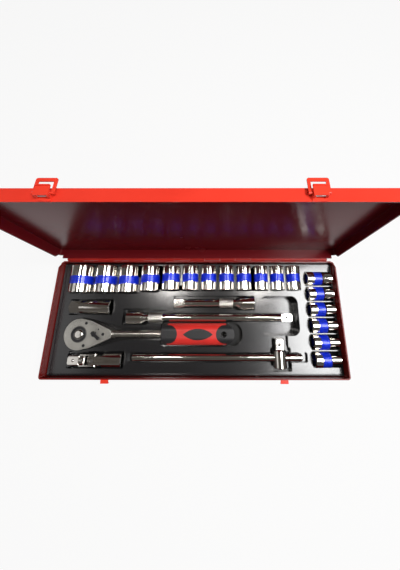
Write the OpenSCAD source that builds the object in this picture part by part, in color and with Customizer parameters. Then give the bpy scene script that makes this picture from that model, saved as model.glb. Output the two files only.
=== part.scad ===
// Half-inch drive socket wrench set in a hinged sheet-steel case.
// Origin: centre of the case base at its underside. X along the case, Y to the hinge, Z up.

/* [Case] */
// Length of the case
case_w = 435; // [433:1:460]
// Depth of the case, front to back
case_d = 168; // [167:1:190]
// Height of the base
base_h = 42; // [40:1:60]
// Height of the lid
lid_h = 15; // [13:1:20]
// Sheet thickness of base and lid
sheet = 1; // [0.8:0.1:1.2]
// Thickness of the folded hem
hem_t = 0.8; // [0.6:0.1:0.8]
// Height of the folded hem along each rim
hem_h = 6; // [4:0.5:8]
// Radius of the upright corners
corner_r = 4; // [3:0.5:6]
// Angle through which the lid stands open
lid_open = 95.4; // [91:0.2:110]
// Gap between the closed rims
rim_gap = 0.4; // [0.3:0.1:0.8]
// Length of the cut at the hinge end of each side wall
notch_y = 10; // [6:1:14]
// Height of the cut at the hinge end of each side wall
notch_z = 5; // [3:1:7]

/* [Hinges] */
// Length of the strip hinge
hinge_len = 408; // [380:4:412]
// Number of its knuckles, an odd number
knuckles = 17; // [9:2:21]
// Radius of the hinge barrel
barrel_r = 2.5; // [2.3:0.1:3]
// Radius of the hinge pin
hinge_pin_r = 1.2; // [1:0.1:1.4]
// Thickness of a hinge leaf
leaf_t = 1; // [0.8:0.1:1.2]
// Height of a hinge leaf
leaf_h = 9; // [8:0.5:10]

/* [Latches] */
// Distance of each latch from the middle
latch_x = 126; // [110:1:150]
// Outer width of the bail
bail_w = 20.6; // [20:0.2:24]
// Width of the lever plate
lever_w = 13.6; // [12:0.2:14]
// Height of the lever pivot above the rim
lever_pivot_z = 4.5; // [4:0.1:5]
// Distance of the lever pivot in front of the lid wall
lever_pivot_out = 3.4; // [3:0.1:4]
// Distance from the lever pivot to the bail pivot
bail_offset = 3; // [2.8:0.1:3.4]
// Distance from the bail pivot to the inner edge of its cross bar
bail_reach = 12.3; // [12:0.1:13]
// Width of the cross bar of the bail
bar_w = 4; // [3:0.5:5]
// Width of the catch
catch_w = 11; // [9:0.5:12]
// Reach of the catch in front of the base
catch_out = 5.6; // [5.2:0.1:7]

/* [Tray] */
// Depth of the tray surface below the rim
tray_drop = 14; // [12:1:16]
// Thickness of the formed sheet
tray_t = 0.8; // [0.6:0.1:1]
// Gap between the tray and the hem
tray_gap = 0.3; // [0.2:0.1:0.6]
// Height of the floor of the finger well above the case floor
well_floor = 3; // [2:0.5:6]
// Gap beside a tool in its pocket
pocket_gap = 0.9; // [0.7:0.1:1]
// Gap under a tool in its pocket
seat_gap = 0.3; // [0.2:0.1:0.5]

/* [Sockets] */
// Metric sizes of the back row
row_sizes = [27, 24, 23, 22, 21, 20, 19, 18, 17, 16, 15, 14];
// Outer diameters of the back row
row_od = [36, 33.5, 31, 30, 28.5, 26, 25, 24.5, 24, 22.5, 22, 22];
// Lengths of the back row
row_len = [42, 42, 42, 40, 38, 38, 38, 38, 38, 38, 38, 38];
// Metric sizes of the side row
side_sizes = [13, 12, 11, 10, 9, 8];
// Diameter of the drive end of the side row
side_od = 22; // [21.5:0.1:22.4]
// Length of the side row sockets
side_len = 39; // [37:0.5:39.5]
// Gap between neighbouring sockets of the back row
row_gap = 3.6; // [3:0.1:3.8]
// Centre distance in the side row
side_pitch = 23.6; // [23.6:0.1:24.4]
// Side of the drive square
drive = 12.7; // [12.6:0.05:12.8]
// Depth of a drive square in a socket
drive_depth = 15; // [14:0.5:17]
// Length of the coloured band
band_len = 12; // [8:1:14]
// Depth of the coloured band
band_depth = 0.3; // [0.2:0.1:0.5]

/* [Tools] */
// Length of the short extension
short_len = 124; // [118:1:125]
// Length of the long extension
long_len = 251; // [244:1:253]
// Diameter of an extension bar
bar_od = 12; // [11:0.5:13]
// Height of the knurled band over an extension bar
knurl_h = 1.5; // [1:0.1:1.8]
// Diameter of the female end of an extension
female_od = 20.6; // [20:0.2:21.4]
// Length of the ratchet
ratchet_len = 251; // [247:1:254]
// Diameter of the ratchet head
head_od = 44; // [43:0.5:44.6]
// Thickness of the ratchet head
head_t = 18; // [17:0.5:19]
// Width of the handle grip
grip_w = 31; // [29:0.5:32]
// Thickness of the handle grip
grip_t = 22; // [20:0.5:23]
// Diameter of the sliding bar
tbar_od = 11; // [10.5:0.5:11.5]
// Length of the sliding bar
tbar_len = 249; // [244:1:251]
// Diameter of the T head
thead_od = 20; // [19:0.2:20.4]
// Diameter of the universal joint
uj_od = 20.5; // [20:0.1:21]
// Radial running clearance of shafts and pins
run = 0.05; // [0.02:0.01:0.08]

/* [Hidden] */
$fn = 48;
tiny = 0.01;
wall_y = case_d / 2;
tray_z = base_h - tray_drop;
in_x = case_w / 2 - sheet - hem_t;
in_y = wall_y - sheet - hem_t;
tray_x = in_x - tray_gap;
tray_y = in_y - tray_gap;
axis_z = tray_z + 2;
hinge_y = wall_y + leaf_t + barrel_r - 0.5;
hinge_z = base_h + rim_gap / 2;
lid_z0 = base_h + rim_gap;
lid_top = lid_z0 + lid_h;
row_rear = tray_y - 4.2;
row_left = -case_w / 2 + 34.5;
side_right = tray_x - 3.4;
side_back = 58;
square_r = drive / sqrt(2);
ball_r = 2;
pin_a = [lever_pivot_out, lid_z0 + lever_pivot_z];
pin_b = [lever_pivot_out - 0.2, lid_z0 + lever_pivot_z + bail_offset];
pin_r = 0.9;
plate_t = 1;
ear_t = 1;
catch_top = lid_z0 + lever_pivot_z + bail_offset - bail_reach + 0.3 + plate_t;
short_x = -35;
short_y = 20;
long_x = -106;
long_y = -1.5;
bar_z = tray_z;
plug_x = -194;
plug_y = 14;
plug_len = 61;
plug_od = 22;
head_x = -172;
head_y = -25;
head_z = tray_z - 8;
gear_r = 13.2;
gear_t = 10;
cover_t = 1.6;
grip_x = head_x - head_od / 2 + ratchet_len - 108;
grip_len = 108;
handle_z = head_z + head_t / 2;
cover_z = head_z + head_t - cover_t;
well = [128, 1.5, 59, 59];
tee_x = -93;
tee_y = -57.5;
thead_x = 123.5;
thead_len = 24;
uj_x = -148.5;
uj_y = -61;
uj_front = 36.5;
uj_back = 41;
pawl_x = head_x + 23;

// Shapes that repeat

function sum_to(list, i) = i < 0 ? 0 : list[i] + sum_to(list, i - 1);
// Centre of socket i in the back row: every diameter before it, plus the gaps
function row_x(i) = row_left + sum_to(row_od, i - 1) + row_gap * i + (row_od[i] - row_od[0]) / 2;

module box(x0, x1, y0, y1, z0, z1) {
    translate([x0, y0, z0]) cube([x1 - x0, y1 - y0, z1 - z0]);
}

module rounded(w, d, r) {
    union() {
        square([w - 2 * r, d], center = true);
        square([w, d - 2 * r], center = true);
        for (sx = [-1, 1], sy = [-1, 1]) translate([sx * (w / 2 - r), sy * (d / 2 - r)]) circle(r);
    }
}

// Rod along X from x0 to x1
module rod_x(x0, x1, y, z, r, sides = 48) {
    translate([x0, y, z]) rotate([0, 90, 0]) cylinder(h = x1 - x0, r = r, $fn = sides);
}

// Rod along Y from y0 to y1
module rod_y(y0, y1, x, z, r, sides = 48) {
    translate([x, y1, z]) rotate([90, 0, 0]) cylinder(h = y1 - y0, r = r, $fn = sides);
}

module rod_z(x, y, z0, z1, r, sides = 48) {
    translate([x, y, z0]) cylinder(h = z1 - z0, r = r, $fn = sides);
}

// Rod along X with chamfered ends
module bar_x(x0, x1, y, z, r, c = 0.6) {
    rod_x(x0 + c, x1 - c, y, z, r);
    translate([x0, y, z]) rotate([0, 90, 0]) cylinder(h = c, r1 = r - c, r2 = r);
    translate([x1 - c, y, z]) rotate([0, 90, 0]) cylinder(h = c, r1 = r, r2 = r - c);
}

// Square bar along X
module square_x(x0, x1, y, z, s) {
    box(x0, x1, y - s / 2, y + s / 2, z - s / 2, z + s / 2);
}

// Carries a closed-lid shape to the open position
module opened() {
    translate([0, hinge_y, hinge_z]) rotate([-lid_open, 0, 0]) translate([0, -hinge_y, -hinge_z])
        children();
}

// Places a shape drawn outwards along Y and up along Z on the front wall at side s
module at_latch(s) {
    translate([s * latch_x, -wall_y, 0]) mirror([0, 1, 0]) children();
}

// Case

module shell(h, r) {
    difference() {
        linear_extrude(h) rounded(case_w, case_d, r);
        translate([0, 0, sheet]) linear_extrude(h)
            rounded(case_w - 2 * sheet, case_d - 2 * sheet, r - sheet);
    }
}

module hem(z0) {
    translate([0, 0, z0]) difference() {
        linear_extrude(hem_h) rounded(case_w - 2 * sheet, case_d - 2 * sheet, corner_r - sheet);
        translate([0, 0, -1]) linear_extrude(hem_h + 2)
            rounded(case_w - 2 * (sheet + hem_t), case_d - 2 * (sheet + hem_t), corner_r - 2);
    }
}

// Wedge cut from the hinge end of both side walls at the rim
module side_notch() {
    for (s = [-1, 1]) translate([s * (case_w / 2 - 3) - 4, wall_y + tiny, base_h + tiny])
        rotate([0, 90, 0]) linear_extrude(8)
            polygon([[0, 1], [0, -notch_y], [notch_z, 1 - notch_y / 2], [notch_z, 1]]);
}

module base_shell() color("firebrick") {
    difference() {
        union() {
            shell(base_h, corner_r);
            hem(base_h - hem_h);
        }
        side_notch();
    }
}

module lid_closed() {
    translate([0, 0, lid_top]) mirror([0, 0, 1]) {
        shell(lid_h, corner_r);
        hem(lid_h - hem_h);
    }
}

module lid_shell() color("firebrick") {
    opened() difference() {
        lid_closed();
        translate([0, 0, base_h + lid_z0]) mirror([0, 0, 1]) side_notch();
    }
}

// Strip hinge: the base leaf carries the even knuckles and the lid leaf the odd ones
module hinge_leaf(up) {
    pitch = hinge_len / knuckles;
    x0 = -hinge_len / 2;
    lo = up ? barrel_r + 0.5 : -barrel_r - 0.5 - leaf_h;
    difference() {
        union() {
            box(x0, x0 + hinge_len, wall_y, wall_y + leaf_t, hinge_z + lo, hinge_z + lo + leaf_h);
            for (k = [(up ? 1 : 0) : 2 : knuckles - 1]) {
                a = x0 + k * pitch + 0.15;
                b = x0 + (k + 1) * pitch - 0.15;
                rod_x(a, b, hinge_y, hinge_z, barrel_r);
                if (up) box(a, b, wall_y, wall_y + leaf_t, hinge_z, hinge_z + lo + 1);
                else box(a, b, wall_y, wall_y + leaf_t, hinge_z - barrel_r - 1, hinge_z);
            }
        }
        rod_x(x0 - 1, x0 + hinge_len + 1, hinge_y, hinge_z, hinge_pin_r + (up ? run : 0));
    }
}

module hinge_base_leaves() color("firebrick") hinge_leaf(false);

module hinge_lid_leaves() color("firebrick") opened() hinge_leaf(true);

module hinge_pins() color("silver")
    rod_x(-hinge_len / 2, hinge_len / 2, hinge_y, hinge_z, hinge_pin_r);

// Domed rivet head against a wall that faces +Y
module rivet(x, y, z) {
    translate([x, y, z]) rotate([-90, 0, 0]) {
        cylinder(h = 0.5, r = 2);
        translate([0, 0, 0.5]) cylinder(h = 0.5, r1 = 2, r2 = 1.2);
    }
}

module base_rivets() color("darkred") {
    for (k = [-3 : 3])
        rivet(k * hinge_len / 6.6, wall_y + leaf_t, hinge_z - barrel_r - 0.5 - leaf_h / 2);
    for (s = [-1, 1]) at_latch(s) rivet(0, plate_t, catch_top - 10.5);
}

module lid_rivets() color("darkred") {
    opened() {
        for (k = [-3 : 3])
            rivet(k * hinge_len / 6.6, wall_y + leaf_t, hinge_z + barrel_r + 0.5 + leaf_h / 2);
    }
}

// Latches

module latch_catches() color("firebrick") {
    for (s = [-1, 1]) at_latch(s) {
        box(-catch_w / 2, catch_w / 2, 0, plate_t, catch_top - 14, catch_top);
        box(-catch_w / 2, catch_w / 2, 0, catch_out, catch_top - plate_t, catch_top);
        box(-catch_w / 2, catch_w / 2, catch_out - plate_t, catch_out, catch_top - 4, catch_top);
    }
}

module latch_brackets() color("firebrick") {
    ear_x = lever_w / 2 - ear_t - 0.3;
    opened() for (s = [-1, 1]) at_latch(s) {
        box(-lever_w / 2, lever_w / 2, 0, plate_t, lid_z0 + 0.5, lid_z0 + 10);
        for (e = [-1, 1]) difference() {
            union() {
                box(e * ear_x - (e > 0 ? ear_t : 0), e * ear_x + (e > 0 ? 0 : ear_t), 0,
                    pin_a[0], pin_a[1] - 1.7, pin_a[1] + 1.7);
                rod_x(e * ear_x - (e > 0 ? ear_t : 0), e * ear_x + (e > 0 ? 0 : ear_t),
                    pin_a[0], pin_a[1], 1.7);
            }
            rod_x(-lever_w, lever_w, pin_a[0], pin_a[1], pin_r);
        }
    }
}

module latch_pins() color("silver") {
    opened() for (s = [-1, 1]) at_latch(s)
        rod_x(-lever_w / 2, lever_w / 2, pin_a[0], pin_a[1], pin_r);
}

// Lever: a plate over the bracket, with two side flanges that carry both pivots
module latch_lever(s) {
    front = pin_a[0] + 2.1;
    opened() at_latch(s) difference() {
        union() {
            box(-lever_w / 2, lever_w / 2, front, front + plate_t, pin_a[1] - 1.2, lid_z0 + 14.4);
            box(-lever_w / 2, lever_w / 2, front + plate_t - tiny, front + 2 * plate_t,
                lid_z0 + 13.2, lid_z0 + 14.4);
            for (e = [-1, 1]) translate([e * (lever_w / 2 - ear_t / 2), 0, 0])
                box(-ear_t / 2, ear_t / 2, pin_a[0] - 1.8, front + tiny, pin_a[1] - 1.5, pin_b[1] + 1.8);
        }
        rod_x(-lever_w, lever_w, pin_a[0], pin_a[1], pin_r + run);
        rod_x(-lever_w, lever_w, pin_b[0], pin_b[1], pin_r + run);
    }
}

// Bail: two arms with turned-in pivots and a cross bar at the far end, folded up
module latch_bail(s) {
    arm = bail_w / 2;
    inner = lever_w / 2 + 0.4;
    end = pin_b[1] + bail_reach;
    opened() at_latch(s) {
        for (e = [-1, 1]) {
            translate([e * (arm + inner) / 2, 0, 0])
                box(-(arm - inner) / 2, (arm - inner) / 2, pin_b[0] - plate_t / 2,
                    pin_b[0] + plate_t / 2, pin_b[1] - 1.4, end + tiny);
            translate([e * (inner + arm) / 2, 0, 0])
                rod_x(-(arm - inner) / 2, (arm - inner) / 2, pin_b[0], pin_b[1], 1.4);
            translate([e * (inner - ear_t / 2 - 0.2), 0, 0])
                rod_x(-ear_t / 2 - 0.2, ear_t / 2 + 0.2, pin_b[0], pin_b[1], pin_r);
        }
        translate([0, pin_b[0] + plate_t / 2, end]) rotate([90, 0, 0]) linear_extrude(plate_t)
            union() {
                translate([-arm, 0]) square([2 * arm, bar_w - 2]);
                translate([-arm + 2, 0]) square([2 * arm - 4, bar_w]);
                for (e = [-1, 1]) translate([e * (arm - 2), bar_w - 2]) circle(2);
            }
    }
}

module latch_lever_left() color("orangered") latch_lever(-1);
module latch_lever_right() color("orangered") latch_lever(1);
module latch_bail_left() color("orangered") latch_bail(-1);
module latch_bail_right() color("orangered") latch_bail(1);

// Tray pockets: g is 0 for the hollow and the sheet thickness for the outside of its wall

// Straight-sided pocket with rounded corners
module pocket(x0, x1, y0, y1, floor_z, g, r = 2.5) {
    translate([(x0 + x1) / 2, (y0 + y1) / 2, floor_z - g]) linear_extrude(tray_z + 1 - floor_z + g - (g > 0 ? 1 : 0))
        rounded(x1 - x0 + 2 * g, y1 - y0 + 2 * g, r + g);
}

// Half-round trough along Y with straight sides above the tool's axis
module trough_y(x, y0, y1, r, g) {
    rod_y(y0 - g, y1 + g, x, axis_z, r + g);
    box(x - r - g, x + r + g, y0 - g, y1 + g, axis_z, axis_z + r + 5);
}

module trough_x(x0, x1, y, r, g) {
    rod_x(x0 - g, x1 + g, y, axis_z, r + g);
    box(x0 - g, x1 + g, y - r - g, y + r + g, axis_z, axis_z + r + 5);
}

module row_pockets(g) {
    for (i = [0 : len(row_od) - 1])
        trough_y(row_x(i), row_rear - row_len[i] - pocket_gap, row_rear + pocket_gap,
            row_od[i] / 2 + seat_gap, g);
    for (i = [0 : len(side_sizes) - 1])
        trough_x(side_right - side_len - pocket_gap, side_right + pocket_gap,
            side_back - i * side_pitch, side_od / 2 + seat_gap, g);
}

module bar_pockets(g) {
    half = female_od / 2 + pocket_gap;
    slot = bar_od / 2 + 1.2;
    deep = bar_z - female_od / 2 - seat_gap;
    shelf = bar_z - bar_od / 2 - seat_gap;
    mid = shelf - knurl_h;
    pocket(short_x - 1.5, short_x + short_len + 1.5, short_y - half, short_y + half, shelf, g);
    pocket(short_x + short_len - 60, short_x + short_len - 20, short_y - half, short_y + half, mid, g);
    pocket(short_x + short_len - 30.5, short_x + short_len + 1.5, short_y - half, short_y + half, deep, g);
    pocket(long_x - 8, long_x + 33, long_y - half, long_y + half + 2, deep, g);
    pocket(long_x + 20, long_x + 60, long_y - slot - knurl_h, long_y + half, mid, g);
    pocket(long_x + 50, well[0], long_y - slot, long_y + slot, shelf, g);
}

module ratchet_pocket(g) {
    edge = head_od / 2 + pocket_gap + 0.4;
    floor_z = head_z - seat_gap;
    rod_z(head_x, head_y, floor_z - g, tray_z + (g > 0 ? 0 : 1), edge + g);
    translate([head_x, head_y, floor_z - g]) linear_extrude(tray_z + (g > 0 ? 0 : 1) - floor_z + g)
        polygon([[10, -edge + 2 - g], [30, -edge + 6 - g], [62, -9 - g], [62, 9 + g],
            [30, edge - 6 + g], [10, edge - 2 + g]]);
    rod_z(head_x, head_y, head_z - 16 - g, floor_z, 12 + g);
    pocket(head_x + 40, grip_x + 10, head_y - 9, head_y + 9, floor_z, g);
    pocket(grip_x - 3, grip_x + grip_len + 13, head_y - grip_w / 2 - 2.5, head_y + grip_w / 2 - 1 + 2,
        handle_z - grip_t / 2 - seat_gap, g, 16);
    box(grip_x - 3 - g, grip_x + 20, head_y - grip_w / 2 - 2.5 - g, head_y + grip_w / 2 + 1 + g,
        handle_z - grip_t / 2 - seat_gap - g, tray_z + (g > 0 ? 0 : 1));
}

module tee_pockets(g) {
    slot = tbar_od / 2 + 1.6;
    half = thead_len / 2;
    pocket(tee_x - 8, tee_x + tbar_len + 9, tee_y - slot, tee_y + slot,
        bar_z - tbar_od / 2 - seat_gap, g);
    pocket(thead_x - 13.5, thead_x + 17.5, tee_y - half - 7, tee_y + half + 2,
        bar_z - thead_od / 2 - seat_gap, g);
    pocket(thead_x - 10.5, thead_x + 14.5, tee_y + half - 2, well[1] - well[3] / 2 + 8,
        bar_z - drive / 2 - seat_gap, g);
}

module tray_pockets(g) {
    row_pockets(g);
    bar_pockets(g);
    ratchet_pocket(g);
    tee_pockets(g);
    pocket(well[0] - well[2] / 2, well[0] + well[2] / 2, well[1] - well[3] / 2, well[1] + well[3] / 2,
        well_floor, g, 11);
    pocket(plug_x - 4, plug_x + plug_len + 3, plug_y - plug_od / 2 - pocket_gap,
        plug_y + plug_od / 2 + pocket_gap, bar_z - plug_od / 2 - seat_gap, g);
    pocket(uj_x - uj_front - 4, uj_x + uj_back + 2, uj_y - uj_od / 2 - 1.4, uj_y + uj_od / 2 + 1.4,
        bar_z - uj_od / 2 - seat_gap, g);
}

module tool_tray() color([0.07, 0.07, 0.08]) {
    difference() {
        union() {
            translate([0, 0, tray_z - tray_t]) linear_extrude(tray_t)
                rounded(2 * tray_x, 2 * tray_y, corner_r - 2);
            difference() {
                translate([0, 0, sheet]) linear_extrude(tray_z - sheet)
                    rounded(2 * tray_x, 2 * tray_y, corner_r - 2);
                translate([0, 0, sheet - 1]) linear_extrude(tray_z)
                    rounded(2 * (tray_x - tray_t), 2 * (tray_y - tray_t), corner_r - 2 - tray_t);
            }
            intersection() {
                tray_pockets(tray_t);
                translate([0, 0, sheet]) linear_extrude(tray_z - sheet)
                    rounded(2 * tray_x, 2 * tray_y, corner_r - 2);
            }
        }
        tray_pockets(0);
    }
}

// Sockets. A socket is drawn along +Z with its drive end at z = 0

module socket(size, d_drive, d_hex, l, band_from) {
    shank = l - 12;
    through = min(size * 0.93, 11.4) / 2;
    difference() {
        union() {
            cylinder(h = 1, r1 = d_drive / 2 - 1, r2 = d_drive / 2);
            translate([0, 0, 1]) cylinder(h = band_from - 1, r = d_drive / 2);
            translate([0, 0, band_from]) cylinder(h = band_len, r = d_drive / 2 - band_depth);
            translate([0, 0, band_from + band_len]) cylinder(h = 3, r1 = d_drive / 2, r2 = d_hex / 2);
            translate([0, 0, band_from + band_len + 3]) cylinder(h = l - band_from - band_len - 4, r = d_hex / 2);
            translate([0, 0, l - 1]) cylinder(h = 1, r1 = d_hex / 2, r2 = d_hex / 2 - 1);
        }
        translate([0, 0, -1]) cylinder(h = l + 2, r = through);
        intersection() {
            translate([-drive / 2, -drive / 2, -1]) cube([drive, drive, drive_depth + 1]);
            translate([0, 0, -1]) cylinder(h = drive_depth + 1, r = square_r - 1);
        }
        rotate([0, 0, 30]) translate([0, 0, min(l - size * 0.75, shank)])
            cylinder(h = l, r = (size + 0.15) / sqrt(3), $fn = 6);
        translate([0, 0, -tiny]) cylinder(h = 1, r1 = square_r - 0.4, r2 = square_r - 1.4);
        translate([0, 0, l - 0.8]) cylinder(h = 0.8 + tiny, r1 = size / 2, r2 = size / 2 + 0.8);
    }
}

module row_socket(i) {
    translate([row_x(i), row_rear - row_len[i], axis_z]) rotate([-90, 0, 0])
        socket(row_sizes[i], row_od[i], row_od[i], row_len[i], 13);
}

// The smallest sockets neck down towards the hexagon
module side_socket(i) {
    d_hex = max(side_sizes[i] * 1.32 + 1.5, 12.5);
    translate([side_right - side_len, side_back - i * side_pitch, axis_z]) rotate([0, 90, 0])
        socket(side_sizes[i], side_od, d_hex, side_len, 10);
}

module socket_27() color("silver") row_socket(0);
module socket_24() color("silver") row_socket(1);
module socket_23() color("silver") row_socket(2);
module socket_22() color("silver") row_socket(3);
module socket_21() color("silver") row_socket(4);
module socket_20() color("silver") row_socket(5);
module socket_19() color("silver") row_socket(6);
module socket_18() color("silver") row_socket(7);
module socket_17() color("silver") row_socket(8);
module socket_16() color("silver") row_socket(9);
module socket_15() color("silver") row_socket(10);
module socket_14() color("silver") row_socket(11);
module socket_13() color("silver") side_socket(0);
module socket_12() color("silver") side_socket(1);
module socket_11() color("silver") side_socket(2);
module socket_10() color("silver") side_socket(3);
module socket_09() color("silver") side_socket(4);
module socket_08() color("silver") side_socket(5);

// Spark plug socket: hexagonal drive end, knurled collar, long body with a rubber sleeve

plug_hex = 17;
plug_bore = 8.6;
insert_t = 1.6;

module spark_plug_socket() color("silver") {
    difference() {
        union() {
            rod_x(plug_x, plug_x + 16, plug_y, bar_z, plug_hex / sqrt(3), 6);
            bar_x(plug_x + 15, plug_x + 22, plug_y, bar_z, plug_od / 2 - 1);
            bar_x(plug_x + 22, plug_x + plug_len, plug_y, bar_z, plug_od / 2);
        }
        rod_x(plug_x - 1, plug_x + 20, plug_y, bar_z, 6.4);
        rod_x(plug_x + 18, plug_x + plug_len + 1, plug_y, bar_z, plug_bore);
        rod_x(plug_x + plug_len - 14, plug_x + plug_len + 1, plug_y, bar_z, 16.2 / sqrt(3), 6);
    }
}

module spark_plug_insert() color([0.05, 0.05, 0.05]) {
    difference() {
        rod_x(plug_x + 24, plug_x + 40, plug_y, bar_z, plug_bore);
        rod_x(plug_x + 23, plug_x + 41, plug_y, bar_z, plug_bore - insert_t);
    }
}

// Extensions

square_len = 16;
knurl_len = 21;

// Drive square whose tip points to -X, with a necked root
module drive_square(x_tip, y, z) {
    difference() {
        intersection() {
            square_x(x_tip, x_tip + square_len, y, z, drive - 0.15);
            bar_x(x_tip, x_tip + square_len + 2, y, z, square_r - 0.7, 1.2);
        }
        rod_z(x_tip + 8, y, z + drive / 2 - 3, z + drive, ball_r);
    }
}

module ball(x, y, z) {
    translate([x, y, z]) sphere(r = ball_r - 0.02);
}

// Bar, knurled grip band, shoulder cone and female end, drawn from the female end to +X
module extension_body(x, y, l) {
    f = female_od / 2;
    difference() {
        union() {
            bar_x(x, x + 23, y, bar_z, f, 0.8);
            translate([x + 23 - tiny, y, bar_z]) rotate([0, 90, 0]) cylinder(h = 5, r1 = f, r2 = bar_od / 2 + 0.4);
            bar_x(x + 27, x + l - square_len + 1, y, bar_z, bar_od / 2, 0.4);
            for (k = [0 : 6]) bar_x(x + 33 + 3 * k, x + 36 + 3 * k, y, bar_z, bar_od / 2 + knurl_h, 0.5);
        }
        rod_x(x - 1, x + 17, y, bar_z, 6.2);
        intersection() {
            square_x(x - 1, x + drive_depth, y, bar_z, drive);
            rod_x(x - 1, x + drive_depth, y, bar_z, square_r - 1);
        }
    }
    translate([2 * x + l, 0, 0]) mirror([1, 0, 0]) drive_square(x, y, bar_z);
}

module extension_short() color("silver") {
    translate([2 * short_x + short_len, 0, 0]) mirror([1, 0, 0])
        extension_body(short_x, short_y, short_len);
}

module extension_short_ball() color("gray") {
    ball(short_x + 8, short_y, bar_z + drive / 2 - 0.9);
}

module extension_long() color("silver") extension_body(long_x, long_y, long_len);

module extension_long_ball() color("gray") {
    ball(long_x + long_len - 8, long_y, bar_z + drive / 2 - 0.9);
}

// Ratchet

module teardrop(r, tail) {
    union() {
        circle(r);
        polygon([[0, -r], [16, -r * 0.86], [tail, -5.5], [tail, 5.5], [16, r * 0.86], [0, r]]);
    }
}

cover_r = head_od / 2 - 2.2;
pawl_cut_r = 10.5;

module ratchet_body() color("silver") {
    difference() {
        union() {
            translate([head_x, head_y, head_z]) linear_extrude(head_t - 0.4) teardrop(head_od / 2, 47);
            rod_x(head_x + 44, grip_x + 4, head_y, handle_z, 5.4);
            rod_x(head_x + 40, head_x + 50, head_y, handle_z, 6.2);
            rod_x(grip_x + 4 - tiny, grip_x + 84, head_y, handle_z, 4.5);
        }
        rod_z(head_x, head_y, head_z + 4, head_z + head_t, gear_r + 0.6);
        rod_z(head_x, head_y, head_z - 1, head_z + 5, gear_r - 2 + run);
        rod_z(pawl_x, head_y, head_z + 4, head_z + head_t, pawl_cut_r);
        translate([head_x, head_y, cover_z]) linear_extrude(4) teardrop(cover_r + 0.1, 38);
        for (p = cover_points) rod_z(head_x + p[0], head_y + p[1], head_z + 6, head_z + head_t, 1.2);
    }
}

cover_points = [[9, 15.5], [9, -15.5], [35.5, 0]];
lever_throw = 80;
pawl_tilt = 5;

module ratchet_cover() color("silver") {
    translate([head_x, head_y, cover_z]) difference() {
        linear_extrude(cover_t) teardrop(cover_r, 38);
        rod_z(0, 0, -1, 4, 11.6 + run);
        rod_z(pawl_x - head_x, 0, -1, 4, 2.5 + run);
        rod_z(28, 7, -1, 4, 0.9);
        for (p = cover_points) {
            rod_z(p[0], p[1], -1, 4, 1.3);
            rod_z(p[0], p[1], cover_t - 1, 4, 2.2);
        }
    }
}

module cover_screws() color([0.15, 0.15, 0.16]) {
    for (p = cover_points) translate([head_x + p[0], head_y + p[1], 0]) difference() {
        union() {
            rod_z(0, 0, head_z + 7, cover_z + 1, 1.15);
            rod_z(0, 0, cover_z + cover_t - 0.95, cover_z + cover_t - 0.1, 2.1);
        }
        rod_z(0, 0, cover_z + cover_t - 0.6, cover_z + cover_t + 1, 1, 6);
    }
}

// Drive gear: 36 teeth, lower journal, top boss and the drive square in one piece
module ratchet_gear() color([0.3, 0.3, 0.32]) {
    top = cover_z - 0.2;
    translate([head_x, head_y, 0]) difference() {
        union() {
            translate([0, 0, top - gear_t]) linear_extrude(gear_t) union() {
                circle(gear_r - 1.2);
                for (k = [0 : 35]) rotate(k * 10) polygon([[gear_r - 1.4, -0.9], [gear_r, 0], [gear_r - 1.4, 0.9]]);
            }
            rod_z(0, 0, head_z - 0.1, top - gear_t + tiny, gear_r - 2);
            rod_z(0, 0, top - tiny, head_z + head_t + 0.4, 11.6);
            intersection() {
                translate([-drive / 2 + 0.07, -drive / 2 + 0.07, head_z - 14]) cube([drive - 0.15, drive - 0.15, 15]);
                translate([0, 0, head_z - 14]) cylinder(h = 15, r1 = square_r - 1.6, r2 = square_r - 0.4);
            }
        }
        rod_z(0, 0, head_z + 2, head_z + head_t + 1, 6.6);
        rod_z(0, 0, head_z - 12, head_z + 3, 2.4);
        translate([drive / 2 - 3.5, 0, head_z - 7]) rotate([0, 90, 0]) cylinder(h = 4, r = ball_r);
    }
}

module gear_ring() color([0.1, 0.1, 0.11]) {
    difference() {
        rod_z(head_x, head_y, head_z + head_t + 0.4, head_z + head_t + 1, 10.6);
        rod_z(head_x, head_y, head_z, head_z + head_t + 2, 7.4);
    }
}

// Rocking pawl: its face is an arc round the gear, and one end stands nearer to the teeth
module ratchet_pawl() color([0.35, 0.35, 0.37]) {
    translate([pawl_x, head_y, 0]) rotate([0, 0, -pawl_tilt]) difference() {
        intersection() {
            rod_z(0, 0, head_z + 4.2, cover_z - 0.3, pawl_cut_r - 0.5);
            box(-12, 3.5, -9, 9, 0, 100);
        }
        rod_z(head_x - pawl_x, 0, 0, 100, gear_r + 1.3);
        rod_z(0, 0, 0, 100, 2.5 + run);
    }
}

module selector_lever() color([0.16, 0.16, 0.17]) {
    top = head_z + head_t;
    rod_z(pawl_x, head_y, head_z + 4.2, top + 0.2, 2.5);
    translate([pawl_x, head_y, top + 0.2]) rotate([0, 0, -lever_throw / 2]) linear_extrude(2.6) union() {
        circle(3.4);
        translate([0, -2]) square([8.4, 4]);
        translate([8.4, 0]) circle(2.3);
        translate([-2.6, 0]) circle(2.6);
    }
}

module release_button() color("silver") {
    top = head_z + head_t + 1.6;
    translate([head_x, head_y, 0]) {
        rod_z(0, 0, top - 7, top - 1.2, 6.5);
        translate([0, 0, top - 1.2]) cylinder(h = 1.2, r1 = 6.5, r2 = 4.6);
        rod_z(0, 0, head_z - 8, top - 7 + tiny, 1.1);
    }
}

module button_spring() color("gray") {
    for (k = [0 : 8]) translate([head_x, head_y, head_z + 2.45 + 1.2 * k]) rotate_extrude()
        translate([4, 0]) circle(0.45, $fn = 16);
}

module drive_ball() color("gray") {
    ball(head_x + drive / 2 - 0.9, head_y, head_z - 7);
}

// Handle: dark core with the bright collar of the shank in it, red over-mould on its surface

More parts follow.
